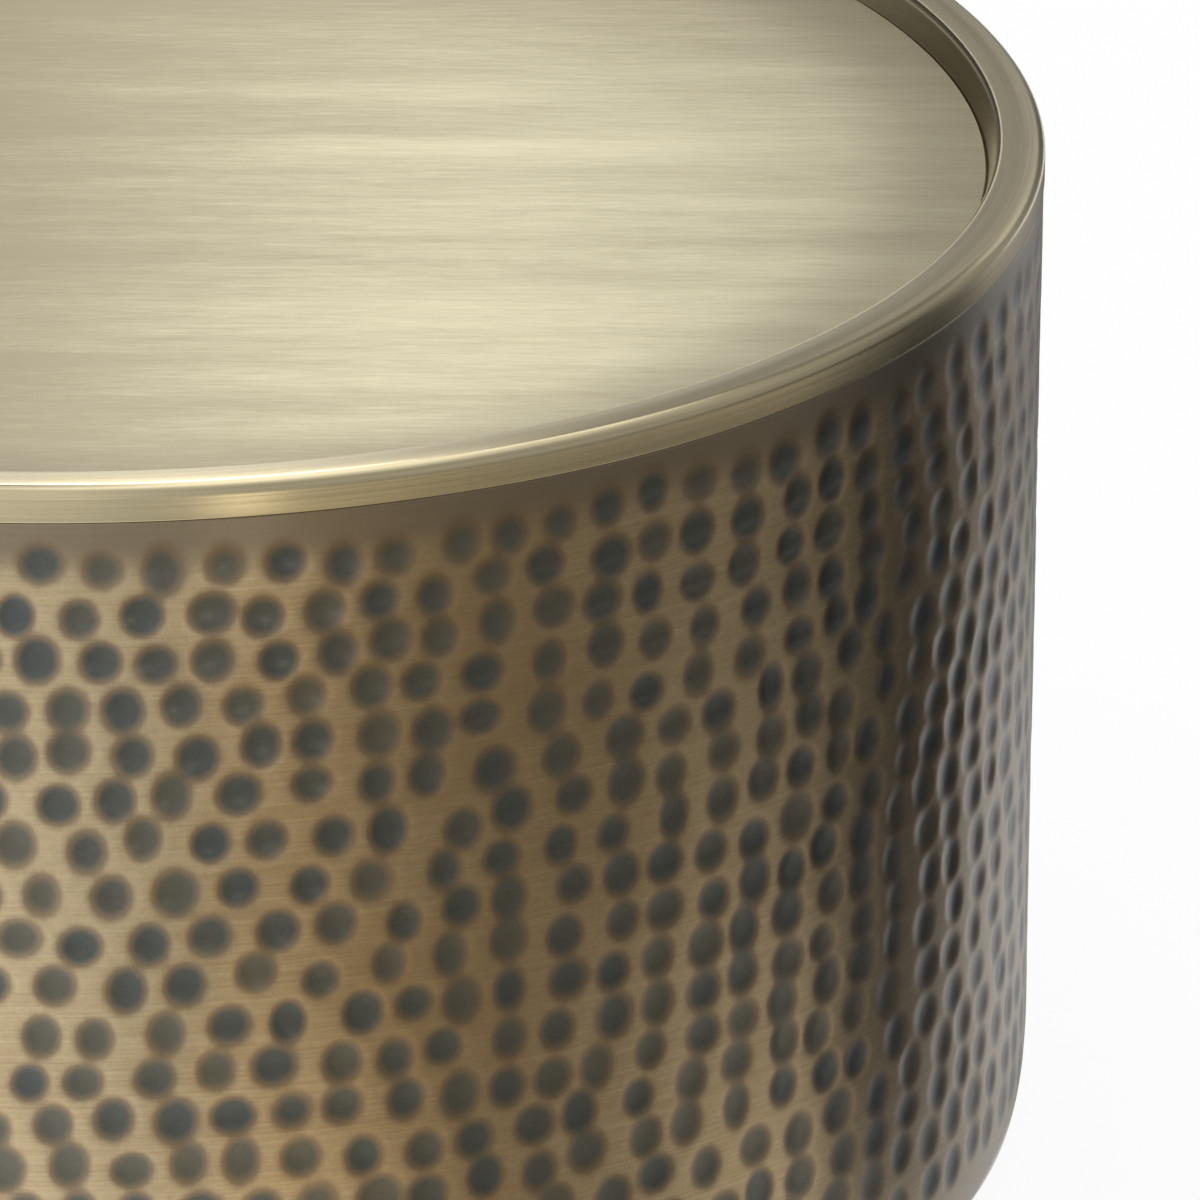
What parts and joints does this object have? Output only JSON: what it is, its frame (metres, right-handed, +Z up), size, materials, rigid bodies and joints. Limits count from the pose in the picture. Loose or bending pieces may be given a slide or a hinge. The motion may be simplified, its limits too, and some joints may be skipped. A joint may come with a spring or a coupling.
{
  "type": "coffee table",
  "caption": "Round drum coffee table: a hammered sheet-metal drum in antique brass under a shallow brushed tray top with a rolled rim.",
  "frame": {"origin": "on the floor, in the middle of the drum", "axes": "+Z up along the drum's axis; an upright and its glide lie on +X; the table is alike all the way round, and the picture was taken from -Y"},
  "size_m": [0.7627, 0.7628, 0.3974],
  "materials": {
    "brushed_tray": "pale antique brass, brushed in straight lines, satin lacquer",
    "spun_rim": "pale antique brass, brushed round the rim, half gloss",
    "hammered_drum": "antique brass, hammered, dark blue-grey patina in the dimples",
    "frame_steel": "mild steel, black paint",
    "fibreboard": "raw medium-density fibreboard",
    "black_plastic": "moulded nylon, fine matt",
    "zinc_screws": "bright zinc plate"
  },
  "bodies": {
    "root": {"top_panel": "brushed_tray", "backing_board": "fibreboard", "rim_ring": "spun_rim", "drum_shell": "hammered_drum", "top_hoop": "frame_steel", "base_hoop": "frame_steel", "upright_1": "frame_steel", "upright_2": "frame_steel", "upright_3": "frame_steel", "upright_4": "frame_steel", "upright_5": "frame_steel", "upright_6": "frame_steel", "floor_glide_1": "black_plastic", "floor_glide_2": "black_plastic", "floor_glide_3": "black_plastic", "floor_glide_4": "black_plastic", "floor_glide_5": "black_plastic", "floor_glide_6": "black_plastic", "board_screws": "zinc_screws", "glide_screws": "zinc_screws"}
  },
  "joints": []
}
